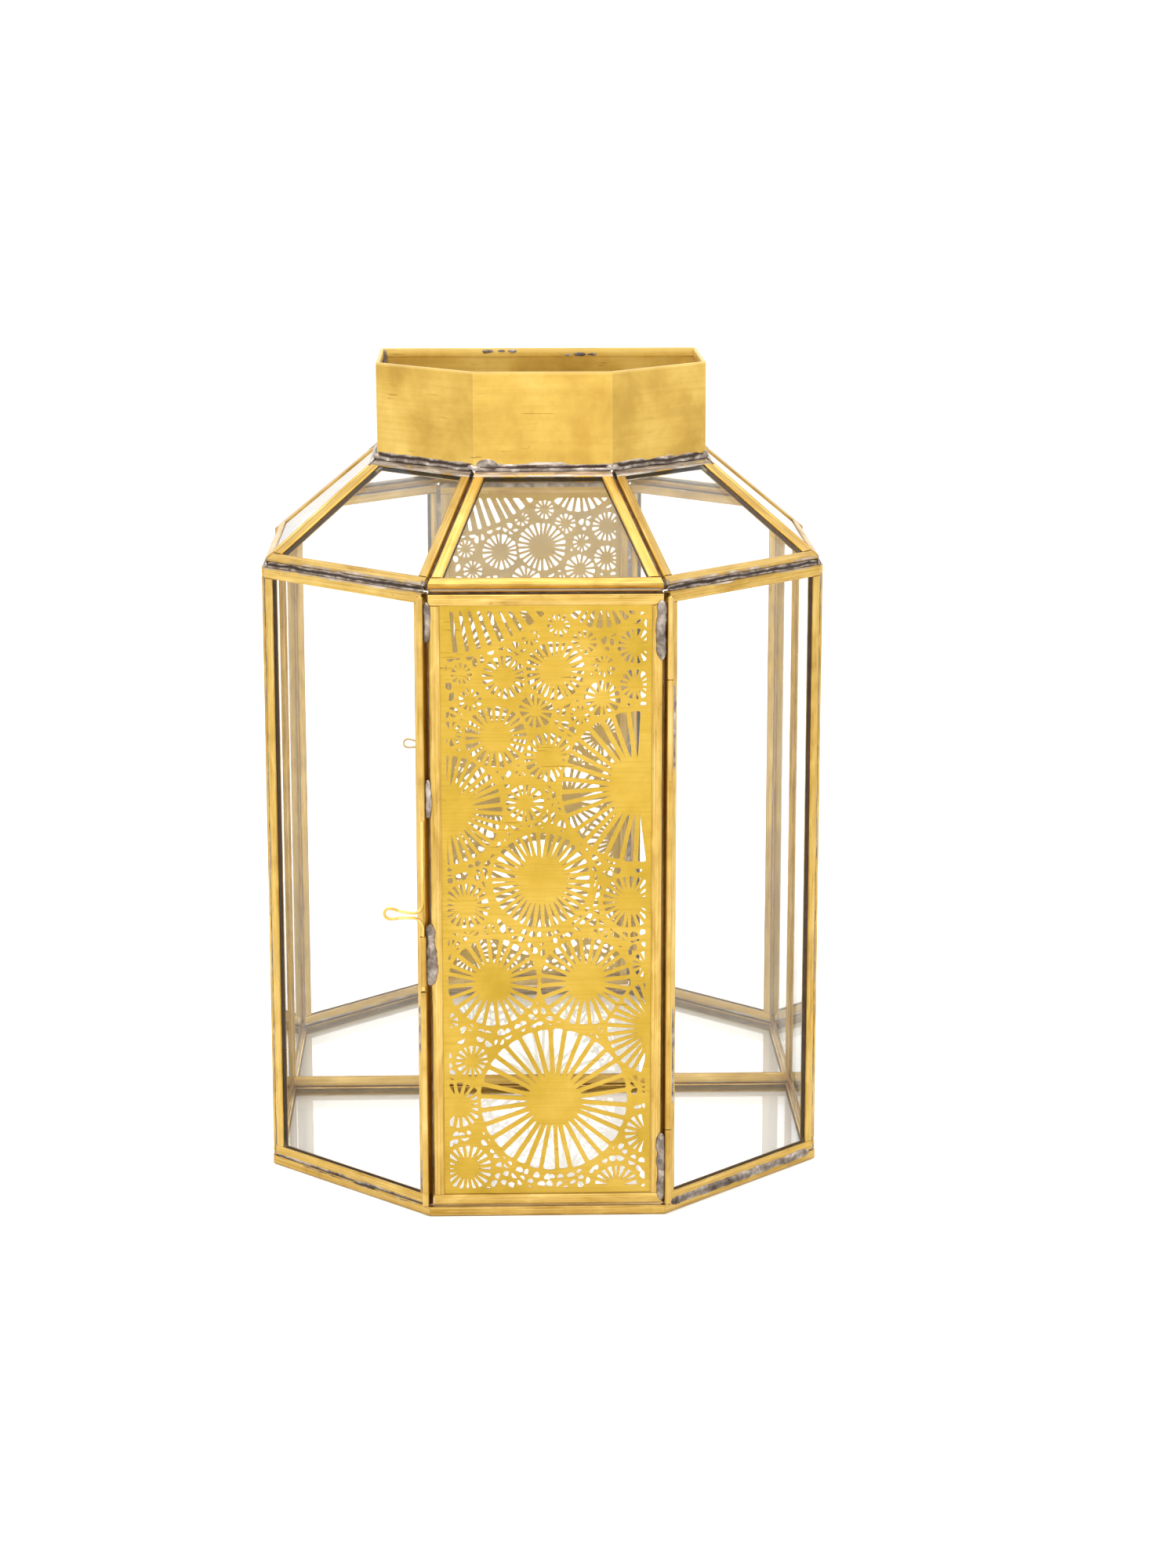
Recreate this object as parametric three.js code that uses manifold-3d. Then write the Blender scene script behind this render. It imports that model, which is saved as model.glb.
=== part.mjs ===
// Table lantern: half an octagon of brass-edged glass panes in front of a flat mirror back,
// a five-pane sloping glass roof, an open brass collar, and a pierced brass door on a wire hinge.
// Millimetres, +Z up. The door faces -Y. The origin is under the middle of the lantern, on the
// surface that it stands on.
import * as THREE from 'three';
import { mergeVertices } from 'three/addons/utils/BufferGeometryUtils.js';
import Module from 'manifold-3d';

const wasm = await Module();
wasm.setup();

// ---------------------------------------------------------------- driving dimensions
const frontWidth = 91.5; // door face, between its two vertical corners
const cornerDepth = frontWidth / Math.SQRT2; // how far each 45 degree face runs back
const sideDepth = 93; // glass side, from its front corner to the back plane
const shoulderHeight = 247.8; // where the walls meet the roof
const roofRise = 36.9;

const collarFront = 53.8;
const collarCorner = 38.9;
const collarSide = 60.4;
const collarHeight = 37.7;
const collarSheet = 0.8;
const hemHeight = 3.6; // the rim's folded edge, inside
const hemThickness = 0.7;

const fit = 0.3; // clearance between pieces that touch
const paneThickness = 3.4; // over the brass channel
const channelFace = 4.2;
const channelWeb = 0.5;
const grooveWidth = 2.6;
const glassThickness = 2.0;
const baseThickness = 3.8;
const doorGap = 0.6; // round the door, more than the fixed panes' seams

const tubeRadius = 1.3;
const boreRadius = 0.9;
const wireRadius = 0.6;
const roundArcs = 8; // a round section has twice as many sides
const overrun = 1; // how far a cut passes the faces that it goes through
const weld = 1e-4; // points nearer than this are the same point

const hinge = { x: 46.8, y: -0.6, bottom: 4.8, low: 35.1, high: 212.7, top: 244.2 };
const latch = { x: -47.3, y: -0.9 };
const latchTubeUpper = [158.7, 244.6];
const latchTubeLower = [93.6, 113.2];
const keeperTube = [5.0, 91.2];
const latchWireTip = 91.7;
const latchWireTop = 222;

const screenSheet = 0.8;
const screenMargin = 2.6; // plain border of the pierced sheet, inside its frame
const petalRib = 1.0; // metal left between two cuts

// ---------------------------------------------------------------- materials
function material(colour, roughness, metalness) {
  return new THREE.MeshStandardMaterial({ color: colour, roughness, metalness });
}

const brass = material(0xdcae54, 0.34, 1);
const sheetBrass = material(0xe2b840, 0.38, 1);
const wireBrass = material(0xe6c060, 0.3, 1);
const silvered = material(0xe8ecec, 0.04, 1);
const glass = material(0xeef6f4, 0.05, 0);

// ---------------------------------------------------------------- solids
function toSolid(geometry) {
  const bare = new THREE.BufferGeometry();
  bare.setAttribute('position', geometry.getAttribute('position'));
  bare.setIndex(geometry.getIndex());
  const merged = mergeVertices(bare, weld);
  return new wasm.Manifold(new wasm.Mesh({
    numProp: 3,
    vertProperties: merged.getAttribute('position').array,
    triVerts: new Uint32Array(merged.getIndex().array),
  }));
}

function toGeometry(solid) {
  const mesh = solid.getMesh();
  const geometry = new THREE.BufferGeometry();
  geometry.setAttribute('position', new THREE.BufferAttribute(mesh.vertProperties, 3));
  geometry.setIndex(new THREE.BufferAttribute(mesh.triVerts, 1));
  geometry.computeVertexNormals();
  return geometry;
}

// A flat slab of the outline, whose faces are at the heights low and high.
function slab(outline, low, high) {
  const geometry = new THREE.ExtrudeGeometry(new THREE.Shape(outline), {
    depth: high - low,
    bevelEnabled: false,
  });
  return geometry.translate(0, 0, low);
}

// A convex anticlockwise outline with each edge moved inwards by its own distance.
function inset(outline, distances) {
  const count = outline.length;
  const lines = outline.map((point, i) => {
    const along = outline[(i + 1) % count].clone().sub(point).normalize();
    const inward = new THREE.Vector2(-along.y, along.x);
    const distance = Array.isArray(distances) ? distances[i] : distances;
    return { point: point.clone().addScaledVector(inward, distance), along };
  });
  return lines.map((line, i) => {
    const before = lines[(i + count - 1) % count];
    const apart = line.point.clone().sub(before.point);
    const reach = apart.cross(line.along) / before.along.cross(line.along);
    return before.point.clone().addScaledVector(before.along, reach);
  });
}

// A frame of brass U-channel round a pane: the outline's outer face is at height 0.
function channelFrame(outline, thickness) {
  const grooveTop = (grooveWidth - thickness) / 2;
  const bar = toSolid(slab(outline, -thickness, 0));
  const opening = toSolid(slab(inset(outline, channelFace), -thickness - overrun, overrun));
  const groove = toSolid(slab(inset(outline, channelWeb), grooveTop - grooveWidth, grooveTop));
  return toGeometry(bar.subtract(opening).subtract(groove));
}

// The plate that the channel holds, with clearance all round.
function plate(outline, thickness) {
  const top = (glassThickness - thickness) / 2;
  return slab(inset(outline, channelWeb + fit), top - glassThickness, top);
}

function circle(radius) {
  return new THREE.Shape().absarc(0, 0, radius, 0, 2 * Math.PI);
}

function rod(radius, low, high, arcs) {
  const options = { depth: high - low, bevelEnabled: false, curveSegments: arcs };
  return new THREE.ExtrudeGeometry(circle(radius), options).translate(0, 0, low);
}

function tube(low, high) {
  const ring = circle(tubeRadius);
  ring.holes.push(new THREE.Path().absarc(0, 0, boreRadius, 0, 2 * Math.PI));
  const options = { depth: high - low, bevelEnabled: false, curveSegments: roundArcs };
  return new THREE.ExtrudeGeometry(ring, options).translate(0, 0, low);
}

// ---------------------------------------------------------------- scene graph
const lantern = new THREE.Group();
const frontReach = latch.y - tubeRadius;
const backPlane = cornerDepth + sideDepth;
lantern.position.y = -(frontReach + backPlane) / 2;

function add(parent, name, geometry, finish) {
  const mesh = new THREE.Mesh(geometry, finish);
  mesh.name = name;
  parent.add(mesh);
  return mesh;
}

// ---------------------------------------------------------------- plan outlines
// Six corners, anticlockwise from above, starting at the door's left corner.
function plan(front, corner, back) {
  const halfFront = front / 2;
  const halfWide = halfFront + corner;
  const nearY = back.plane - back.depth - corner;
  return [
    new THREE.Vector2(-halfFront, nearY),
    new THREE.Vector2(halfFront, nearY),
    new THREE.Vector2(halfWide, nearY + corner),
    new THREE.Vector2(halfWide, back.plane),
    new THREE.Vector2(-halfWide, back.plane),
    new THREE.Vector2(-halfWide, nearY + corner),
  ];
}

const bodyPlan = plan(frontWidth, cornerDepth, { plane: backPlane, depth: sideDepth });
const collarPlan = plan(collarFront, collarCorner, { plane: backPlane, depth: collarSide });
const wallBottom = baseThickness + fit;
const collarBottom = shoulderHeight + roofRise;
const rimHeight = collarBottom + collarHeight;

const at = (point, height) => new THREE.Vector3(point.x, point.y, height);

// ---------------------------------------------------------------- panes
// The plane of a pane: its corners run anticlockwise seen from outside.
function panePlane(corners) {
  const along = corners[1].clone().sub(corners[0]).normalize();
  const across = corners[2].clone().sub(corners[0]);
  const normal = along.clone().cross(across).normalize();
  const up = normal.clone().cross(along);
  const outline = corners.map((corner) => {
    const offset = corner.clone().sub(corners[0]);
    return new THREE.Vector2(offset.dot(along), offset.dot(up));
  });
  return { origin: corners[0], along, up, normal, outline };
}

function wallPlane(side) {
  const [left, right] = [bodyPlan[side], bodyPlan[(side + 1) % 6]];
  return panePlane([
    at(left, wallBottom),
    at(right, wallBottom),
    at(right, shoulderHeight),
    at(left, shoulderHeight),
  ]);
}

function roofPlane(side) {
  const next = (side + 1) % 6;
  return panePlane([
    at(bodyPlan[side], shoulderHeight),
    at(bodyPlan[next], shoulderHeight),
    at(collarPlan[next], collarBottom),
    at(collarPlan[side], collarBottom),
  ]);
}

// Two square-edged panes meet at their inner corners when both are set in by this much.
function seamInset(plane, neighbour) {
  const angle = plane.normal.angleTo(neighbour.normal);
  return paneThickness * Math.tan(angle / 2) + fit / 2;
}

function paneGroup(plane) {
  const group = new THREE.Group();
  const axes = new THREE.Matrix4().makeBasis(plane.along, plane.up, plane.normal);
  group.quaternion.setFromRotationMatrix(axes);
  group.position.copy(plane.origin);
  lantern.add(group);
  return group;
}

function addPane(name, plane, distances, filling, finish) {
  const outline = inset(plane.outline, distances);
  const group = paneGroup(plane);
  add(group, `${name}_frame`, channelFrame(outline, paneThickness), brass);
  add(group, `${name}_${filling}`, plate(outline, paneThickness), finish);
}

const walls = [0, 1, 2, 3, 4, 5].map(wallPlane);
const roofs = [0, 1, 2, 3, 4, 5].map(roofPlane);
const againstBack = paneThickness + fit;
const backSide = 3;

// A pane's edges in order: bottom, right, top, left, seen from outside.
function wallInsets(side) {
  const edgeTo = (other) => (other === backSide ? againstBack : seamInset(walls[side], walls[other]));
  const top = seamInset(walls[side], roofs[side]);
  return [0, edgeTo((side + 1) % 6), top, edgeTo((side + 5) % 6)];
}

function roofInsets(side) {
  const edgeTo = (other) => (other === backSide ? againstBack : seamInset(roofs[side], roofs[other]));
  const bottom = seamInset(roofs[side], walls[side]);
  return [bottom, edgeTo((side + 1) % 6), 0, edgeTo((side + 5) % 6)];
}

const glazedWalls = { right_front: 1, right_side: 2, left_side: 4, left_front: 5 };
for (const [name, side] of Object.entries(glazedWalls)) {
  addPane(name, walls[side], wallInsets(side), 'glass', glass);
}

const glazedRoofs = { roof_front: 0, roof_right_front: 1, roof_right_side: 2, roof_left_side: 4,
  roof_left_front: 5 };
for (const [name, side] of Object.entries(glazedRoofs)) {
  addPane(name, roofs[side], roofInsets(side), 'glass', glass);
}

// The mirror is one plate, as high as the collar, with its upper corners cut to the roof's slope.
const [backRight, backLeft] = [bodyPlan[backSide], bodyPlan[backSide + 1]];
const mirrorPlane = panePlane([
  at(backRight, wallBottom),
  at(backLeft, wallBottom),
  at(backLeft, shoulderHeight),
  at(collarPlan[backSide + 1], collarBottom),
  at(collarPlan[backSide], collarBottom),
  at(backRight, shoulderHeight),
]);
addPane('back', mirrorPlane, 0, 'mirror', silvered);

// The base pane lies flat under the walls, in a channel ring of its own.
const base = new THREE.Group();
base.position.z = baseThickness;
lantern.add(base);
add(base, 'base_frame', channelFrame(bodyPlan, baseThickness), brass);
add(base, 'base_glass', plate(bodyPlan, baseThickness), glass);

// ---------------------------------------------------------------- collar
function collarRing() {
  const bottom = collarBottom + fit;
  const hemBottom = rimHeight - hemHeight;
  const bore = inset(collarPlan, collarSheet);
  const neck = inset(collarPlan, collarSheet + hemThickness);
  return toSolid(slab(collarPlan, bottom, rimHeight))
    .subtract(toSolid(slab(bore, bottom - overrun, hemBottom)))
    .subtract(toSolid(slab(neck, hemBottom - overrun, rimHeight + overrun)));
}

add(lantern, 'collar', toGeometry(collarRing()), sheetBrass);

// ---------------------------------------------------------------- pierced door sheet
// Each sunburst: centre across and up from the sheet's middle foot, outer and inner radius, rays.
const sunbursts = [
  { x: 2.6, z: 46.9, outer: 29.7, inner: 11, rays: 30 },
  { x: -20.7, z: 94.4, outer: 18.4, inner: 8.4, rays: 22 },
  { x: 15, z: 94.4, outer: 18.4, inner: 8.4, rays: 22 },
  { x: -2.2, z: 134.8, outer: 20, inner: 10.3, rays: 26 },
  { x: 35, z: 171, outer: 33, inner: 13.4, rays: 34 },
  { x: -34, z: 162.4, outer: 22.5, inner: 11.4, rays: 26 },
  { x: -8.2, z: 165, outer: 8, inner: 3.3, rays: 10 },
  { x: 0, z: 182.6, outer: 10.7, inner: 5.7, rays: 14 },
  { x: -19.1, z: 190.7, outer: 13, inner: 6.5, rays: 16 },
  { x: -4, z: 200.6, outer: 7.7, inner: 2.4, rays: 9 },
  { x: -15.8, z: 213.7, outer: 9.2, inner: 4.4, rays: 12 },
  { x: 3.4, z: 216, outer: 12.4, inner: 6.2, rays: 16 },
  { x: -30, z: 266, outer: 45, inner: 12, rays: 34 },
  { x: -32, z: 208, outer: 8, inner: 3, rays: 9 },
  { x: 20, z: 207, outer: 9, inner: 3.6, rays: 11 },
  { x: 33, z: 222, outer: 10.5, inner: 5, rays: 13 },
  { x: 16, z: 226, outer: 6, inner: 2.4, rays: 8 },
  { x: 20, z: 247, outer: 17, inner: 7, rays: 18 },
  { x: -31, z: 124.8, outer: 10, inner: 4.6, rays: 13 },
  { x: 31.6, z: 126, outer: 11.5, inner: 5.5, rays: 14 },
  { x: 40, z: 76, outer: 19, inner: 8, rays: 20 },
  { x: -29, z: 63, outer: 8, inner: 3, rays: 9 },
  { x: -33.5, z: 45, outer: 9.7, inner: 4.4, rays: 11 },
  { x: -31, z: 19.3, outer: 11, inner: 5, rays: 13 },
  { x: 28, z: 13, outer: 8.5, inner: 3, rays: 9 },
  { x: 37, z: 35, outer: 9, inner: 3.4, rays: 10 },
];

const smallestCut = 3; // square millimetres
const shortestEdge = 0.05;

// The part of a convex outline where normal . point is at most limit.
function clip(outline, normal, limit) {
  const kept = [];
  outline.forEach((point, i) => {
    const next = outline[(i + 1) % outline.length];
    const here = normal.dot(point) - limit;
    const there = normal.dot(next) - limit;
    if (here < 0) kept.push(point);
    if (here * there < 0) kept.push(point.clone().lerp(next, here / (here - there)));
  });
  return kept.filter((point, i) => point.distanceTo(kept[(i + 1) % kept.length]) > shortestEdge);
}

// A burst keeps to its own side of the line on which its circle and a neighbour's are equally near.
function clipToNeighbours(outline, burst) {
  const centre = new THREE.Vector2(burst.x, burst.z);
  return sunbursts.filter((other) => other !== burst).reduce((cut, other) => {
    const toOther = new THREE.Vector2(other.x, other.z).sub(centre);
    const apart = toOther.length();
    const share = (apart ** 2 + burst.outer ** 2 - other.outer ** 2) / (2 * apart);
    const normal = toOther.normalize();
    return clip(cut, normal, normal.dot(centre) + share - petalRib / 2);
  }, outline);
}

function polar(burst, angle, radius, sideways) {
  const [c, s] = [Math.cos(angle), Math.sin(angle)];
  return new THREE.Vector2(burst.x + c * radius - s * sideways, burst.z + s * radius + c * sideways);
}

function rayCut(burst, index, border) {
  const angle = ((index + 0.5) * 2 * Math.PI) / burst.rays;
  const halfAt = (radius) => radius * Math.tan(Math.PI / burst.rays) - petalRib / 2;
  const near = burst.inner + petalRib / 2;
  const far = burst.outer - petalRib / 2;
  const wedge = [
    polar(burst, angle, near, -halfAt(near)),
    polar(burst, angle, far, -halfAt(far)),
    polar(burst, angle, far, halfAt(far)),
    polar(burst, angle, near, halfAt(near)),
  ];
  const inBorder = [[1, 0, border.right], [-1, 0, -border.left], [0, 1, border.top],
    [0, -1, -border.bottom]];
  return clipToNeighbours(inBorder.reduce(
    (cut, [x, z, limit]) => clip(cut, new THREE.Vector2(x, z), limit), wedge), burst);
}

function piercedSheet(outline) {
  const middle = (outline[0].x + outline[1].x) / 2;
  const margin = screenMargin + channelFace - channelWeb - fit;
  const border = {
    left: outline[0].x - middle + margin,
    right: outline[1].x - middle - margin,
    bottom: outline[0].y + margin,
    top: outline[2].y - margin,
  };
  const top = -(paneThickness - grooveWidth) / 2 - fit;
  const sheet = toSolid(slab(outline, top - screenSheet, top));
  const cuts = sunbursts.flatMap((burst) => Array.from(
    { length: burst.rays }, (_, index) => rayCut(burst, index, border)))
    .filter((cut) => cut.length > 2 && THREE.ShapeUtils.area(cut) > smallestCut)
    .map((cut) => toSolid(slab(cut, top - screenSheet - overrun, top + overrun))
      .translate(middle, 0, 0));
  return toGeometry(cuts.reduce((rest, cut) => rest.subtract(cut), sheet));
}

// ---------------------------------------------------------------- door
const doorPlane = walls[0];
const door = paneGroup(doorPlane);
const doorEdge = seamInset(walls[0], walls[1]);
const doorInsets = [doorGap, doorEdge, seamInset(walls[0], roofs[0]) + doorGap, doorEdge];
const doorOutline = inset(doorPlane.outline, doorInsets);
add(door, 'door_frame', channelFrame(doorOutline, paneThickness), brass);
add(door, 'door_screen', piercedSheet(inset(doorOutline, channelWeb + fit)), sheetBrass);

// ---------------------------------------------------------------- hinge
const hingeLine = new THREE.Group();
hingeLine.position.set(hinge.x, hinge.y, 0);
lantern.add(hingeLine);
add(hingeLine, 'hinge_knuckle_bottom', tube(hinge.bottom, hinge.low - fit / 2), brass);
add(hingeLine, 'hinge_knuckle_middle', tube(hinge.low + fit / 2, hinge.high - fit / 2), brass);
add(hingeLine, 'hinge_knuckle_top', tube(hinge.high + fit / 2, hinge.top), brass);
add(hingeLine, 'hinge_pin', rod(wireRadius, hinge.bottom + fit, hinge.top + fit, roundArcs),
  wireBrass);

// ---------------------------------------------------------------- latch
const latchLine = new THREE.Group();
latchLine.position.set(latch.x, latch.y, 0);
lantern.add(latchLine);
add(latchLine, 'latch_tube_upper', tube(...latchTubeUpper), brass);
add(latchLine, 'latch_tube_lower', tube(...latchTubeLower), brass);
add(latchLine, 'latch_keeper_tube', tube(...keeperTube), brass);

// One wire: down the upper tube, out round a flat thumb loop, and on into the lower tube.
const loopRoute = new THREE.CatmullRomCurve3([
  [0, 129.5], [0, 127.4], [-0.35, 125.2], [-1.5, 123.3], [-3.4, 122.6],
  [-8, 123.2], [-12.3, 124.5], [-14.1, 123.9], [-14.7, 122.5], [-14.1, 121], [-12.3, 120.4],
  [-8, 120.7], [-3.8, 120.7], [-1.8, 119.9], [-0.5, 118.6], [0, 116.9], [0, 115],
].map(([x, z]) => new THREE.Vector3(x, 0, z)), false, 'centripetal');

const wireArcs = 4;
const loopSteps = 56;
const joint = 0.5; // how far the straight lengths run into the loop's ends

function latchWire() {
  const options = { steps: loopSteps, extrudePath: loopRoute, bevelEnabled: false,
    curveSegments: wireArcs };
  const loop = toSolid(new THREE.ExtrudeGeometry(circle(wireRadius), options));
  const [start, end] = [loopRoute.points[0].z, loopRoute.points.at(-1).z];
  const upper = toSolid(rod(wireRadius, start - joint, latchWireTop, wireArcs));
  const lower = toSolid(rod(wireRadius, latchWireTip, end + joint, wireArcs));
  return toGeometry(loop.add(upper).add(lower));
}

add(latchLine, 'latch_wire', latchWire(), wireBrass);

export default lantern;
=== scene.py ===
"""Looks of the brass and glass table lantern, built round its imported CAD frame.

Metres, +Z up. The door faces -Y and the flat mirror back faces +Y.
"""
import math

import bmesh
import bpy
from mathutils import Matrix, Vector, geometry, noise


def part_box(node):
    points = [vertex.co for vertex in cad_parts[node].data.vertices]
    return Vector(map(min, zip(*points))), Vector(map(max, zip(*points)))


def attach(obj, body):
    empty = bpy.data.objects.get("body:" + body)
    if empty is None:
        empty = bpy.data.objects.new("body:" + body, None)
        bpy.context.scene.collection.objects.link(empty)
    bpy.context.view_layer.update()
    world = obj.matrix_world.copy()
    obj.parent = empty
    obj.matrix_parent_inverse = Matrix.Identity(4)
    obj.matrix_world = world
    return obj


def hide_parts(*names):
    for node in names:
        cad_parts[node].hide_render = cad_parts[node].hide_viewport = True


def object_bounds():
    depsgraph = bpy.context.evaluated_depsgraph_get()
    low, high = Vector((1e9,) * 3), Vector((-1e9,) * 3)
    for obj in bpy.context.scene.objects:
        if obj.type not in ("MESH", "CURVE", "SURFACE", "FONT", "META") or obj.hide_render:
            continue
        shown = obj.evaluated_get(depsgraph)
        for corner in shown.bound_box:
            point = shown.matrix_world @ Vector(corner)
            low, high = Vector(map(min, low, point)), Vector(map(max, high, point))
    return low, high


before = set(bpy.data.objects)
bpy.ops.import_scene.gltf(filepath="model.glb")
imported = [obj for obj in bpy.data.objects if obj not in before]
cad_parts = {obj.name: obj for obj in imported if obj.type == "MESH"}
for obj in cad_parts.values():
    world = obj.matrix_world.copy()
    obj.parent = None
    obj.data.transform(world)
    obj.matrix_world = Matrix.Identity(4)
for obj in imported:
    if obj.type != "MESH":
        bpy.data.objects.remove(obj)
cad_low, cad_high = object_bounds()

MM = 0.001
UP = Vector((0, 0, 1))
AHEAD = Vector((0, -1, 0))  # out of the door's face
BODY, DOOR, LATCH = "lantern_body", "door", "latch"
MIDDLE = (cad_low + cad_high) / 2

# Brass channel round each pane.
FACE = 4.2 * MM  # how far it laps over the pane
WALL = 0.64 * MM  # its sheet, over the pane's face
WEB = 0.5 * MM  # its sheet, along the pane's edge
ROUNDING = 0.7 * MM  # fold at the outside
BACK_ROUNDING = 0.2 * MM  # fold at the inside of the lantern
CROWN = 0.2 * MM  # depth of the hollow along its face
SEAM = 0.1 * MM  # open joint where two strips meet
WAVE = 0.1 * MM  # unevenness of the hand-bent strip
STEP = 7 * MM  # spacing of the sections along a strip


# -------- materials
def feed(tree, node, inputs):
    """Sets each of a node's inputs to a value, or links it to another node's output."""
    for name, value in inputs.items():
        if isinstance(value, bpy.types.NodeSocket):
            tree.links.new(value, node.inputs[name])
        else:
            node.inputs[name].default_value = value


class Look:
    """A Principled material, with short calls that add its nodes."""

    def __init__(self, name, colour, roughness, metallic):
        self.material = bpy.data.materials.new(name)
        self.material.use_nodes = True
        self.tree = self.material.node_tree
        self.shader = self.tree.nodes["Principled BSDF"]
        self.put("Base Color", (*colour, 1))
        self.put("Roughness", roughness)
        self.put("Metallic", metallic)
        self.place = self.add("ShaderNodeTexCoord").outputs["Object"]

    def add(self, kind, inputs=None, **settings):
        made = self.tree.nodes.new(kind)
        for name, value in settings.items():
            setattr(made, name, value)
        feed(self.tree, made, inputs or {})
        return made

    def put(self, name, value):
        feed(self.tree, self.shader, {name: value})

    def noise(self, scale, detail=4, roughness=0.55, stretch=(1, 1, 1), distortion=0):
        mapping = self.add("ShaderNodeMapping", {"Vector": self.place, "Scale": stretch})
        made = self.add("ShaderNodeTexNoise", {
            "Vector": mapping.outputs["Vector"], "Scale": scale, "Detail": detail,
            "Roughness": roughness, "Distortion": distortion})
        return made.outputs["Fac"]

    def ramp(self, value, stops):
        made = self.add("ShaderNodeValToRGB", {"Fac": value})
        elements = made.color_ramp.elements
        while len(elements) < len(stops):
            elements.new(0.5)
        for element, (place, colour) in zip(elements, stops):
            element.position = place
            element.color = (*colour, 1)
        return made.outputs["Color"]

    def band(self, value, low, high, out_low=0.0, out_high=1.0):
        """The value's share of the way from low to high, stretched between the two outs."""
        made = self.add("ShaderNodeMapRange", {
            "Value": value, "From Min": low, "From Max": high,
            "To Min": out_low, "To Max": out_high})
        return made.outputs["Result"]

    def mix(self, factor, first, second):
        first, second = ((*c, 1) if isinstance(c, tuple) else c for c in (first, second))
        made = self.add("ShaderNodeMix", {0: factor, 6: first, 7: second}, data_type="RGBA")
        return made.outputs[2]

    def tint(self, colour, value, low, high, strength, other):
        """The colour, turned towards another as the value goes from low to high."""
        return self.mix(self.band(value, low, high, 0, strength), colour, other)

    def given(self, name, output="Vector"):
        """A value that the mesh carries at each point."""
        return self.add("ShaderNodeAttribute", attribute_name=name).outputs[output]

    def parts(self, vector):
        return self.add("ShaderNodeSeparateXYZ", {0: vector}).outputs

    def maths(self, operation, first, second=0.0):
        return self.add("ShaderNodeMath", {0: first, 1: second}, operation=operation).outputs[0]

    def hollow(self, distance, local=False):
        """1 in the open, falling to 0 deep in a gap."""
        made = self.add("ShaderNodeAmbientOcclusion", {"Distance": distance}, samples=8,
                        only_local=local)
        return made.outputs["AO"]

    def bump(self, height, strength, distance):
        made = self.add("ShaderNodeBump", {"Height": height, "Strength": strength,
                                           "Distance": distance})
        self.put("Normal", made.outputs["Normal"])


# Colours.
# Painted shade in the gaps of the brass channel.
GAP_SHADE_BROWN = (0.24, 0.125, 0.03)
PALE_BRASS = (0.84, 0.63, 0.26)
# Painted highlight on the collar's folds and rim.
RIM_AND_FOLD_HIGHLIGHT = (0.88, 0.68, 0.28)
TIN_STOPS = [(0.34, (0.12, 0.085, 0.06)), (0.5, (0.3, 0.24, 0.19)), (0.68, (0.6, 0.52, 0.43))]
BRASS_STOPS = [(0.3, (0.38, 0.22, 0.04)), (0.46, (0.51, 0.32, 0.07)), (0.62, (0.6, 0.395, 0.1)),
               (0.75, (0.7, 0.5, 0.175))]
WIRE_STOPS = [(0.35, (0.6, 0.37, 0.075)), (0.6, (0.84, 0.6, 0.2))]
SOLDER_STOPS = [(0.32, (0.07, 0.05, 0.038)), (0.46, (0.2, 0.16, 0.132)),
                (0.58, (0.36, 0.305, 0.26)), (0.72, (0.66, 0.59, 0.52))]
PAINT_STOPS = [(0.3, (0.16, 0.15, 0.14)), (0.7, (0.24, 0.23, 0.21))]


def tinned(look, colour, distance, reach, streaks):
    """Solder smeared thinly over the brass, as far as about the reach from an edge."""
    edge = look.maths("MULTIPLY", reach, look.band(streaks, 0.34, 0.62, 0.25, 1.7))
    cover = look.band(look.maths("SUBTRACT", edge, distance), 0.02 * MM, 0.22 * MM)
    return look.mix(cover, colour, look.ramp(streaks, TIN_STOPS))


def channel_look():
    """Aged satin brass strip, drawn lengthwise: painted shade along both edges of its face, paler
    lines, and painted shade in the gaps.

    It reads each strip's own coordinates (metres along it, metres across it, and its number) and
    how far solder is smeared over its outer edge.
    """
    look = Look("channel_brass", (0.6, 0.35, 0.07), 0.36, 1)
    look.place = look.given("strip")
    across = look.parts(look.place)["Y"]
    mottle = look.noise(1, detail=6, stretch=(60, 190, 7), distortion=0.5)
    colour = look.ramp(mottle, BRASS_STOPS)
    tone = look.noise(1, detail=1, stretch=(6, 0, 7.3))
    colour = look.mix(look.band(tone, 0.35, 0.65, 0.3, 0), colour, (0.4, 0.225, 0.035))
    lines = look.noise(1, detail=4, roughness=0.65, stretch=(22, 2600, 7))
    colour = look.tint(colour, lines, 0.46, 0.72, 0.6, PALE_BRASS)
    colour = look.tint(colour, lines, 0.44, 0.24, 0.55, (0.36, 0.19, 0.03))
    # Painted shade: both edges of the strip's face, the rounded fold outside and the lip against
    # the glass, turn dark brown, unevenly with the mottle.
    outer = look.band(across, 0.26 * FACE, 0.02 * FACE)
    inner = look.band(across, 0.86 * FACE, FACE)
    edge = look.maths("MULTIPLY", look.maths("MAXIMUM", outer, inner),
                      look.band(mottle, 0.2, 0.6, 0.75, 0.3))
    colour = look.mix(edge, colour, (0.3, 0.155, 0.028))
    stains = look.noise(1, detail=5, roughness=0.7, stretch=(240, 420, 7))
    colour = look.tint(colour, stains, 0.63, 0.73, 0.55, (0.24, 0.12, 0.03))
    streaks = look.noise(1, detail=5, roughness=0.6, stretch=(70, 600, 7))
    colour = tinned(look, colour, across, look.given("tin", "Fac"), streaks)
    # Painted shade: dark brown where the strip's own geometry closes round, in its joints and
    # folds.
    gaps = look.band(look.hollow(2 * MM, local=True), 0.1, 0.7, 0.45, 0)
    look.put("Base Color", look.mix(gaps, colour, GAP_SHADE_BROWN))
    look.put("Roughness", look.band(mottle, 0.3, 0.7, 0.42, 0.28))
    look.bump(look.maths("ADD", lines, mottle), 0.3, 0.12 * MM)
    return look.material


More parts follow.
